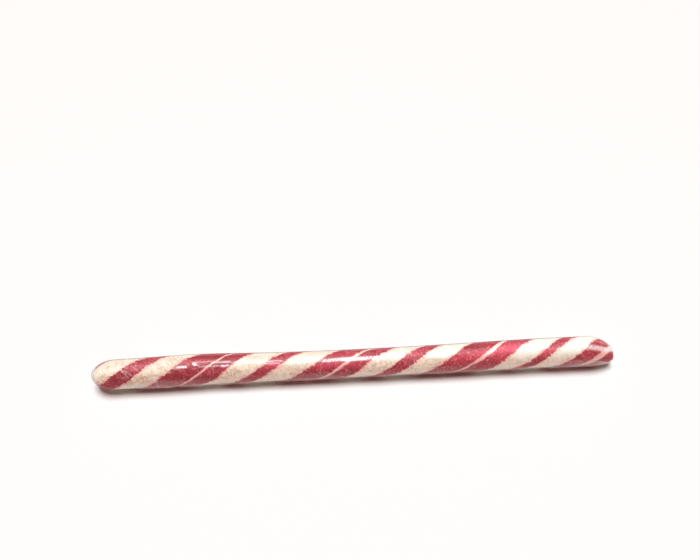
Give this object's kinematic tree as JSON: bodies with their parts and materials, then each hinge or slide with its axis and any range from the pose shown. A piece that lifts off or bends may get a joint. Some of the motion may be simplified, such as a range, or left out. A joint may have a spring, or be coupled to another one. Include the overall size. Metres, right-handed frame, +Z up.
{
  "type": "candy stick",
  "caption": "Twisted hard candy stick with spiral red stripes on cream white, tightly wrapped in clear film and lying on its side.",
  "frame": {"origin": "centre of the underside, on the surface the stick lies on", "axes": "+X along the stick towards its blunt end, +Z up, -Y towards the side it is seen from"},
  "size_m": [0.14, 0.0082, 0.0078],
  "materials": {
    "striped_candy": "glossy hard candy, raspberry red spiral stripes on cream white",
    "clear_film": "thin clear wrapping film, glossy and finely creased"
  },
  "bodies": {
    "root": {"candy_stick": "striped_candy"}
  },
  "joints": []
}
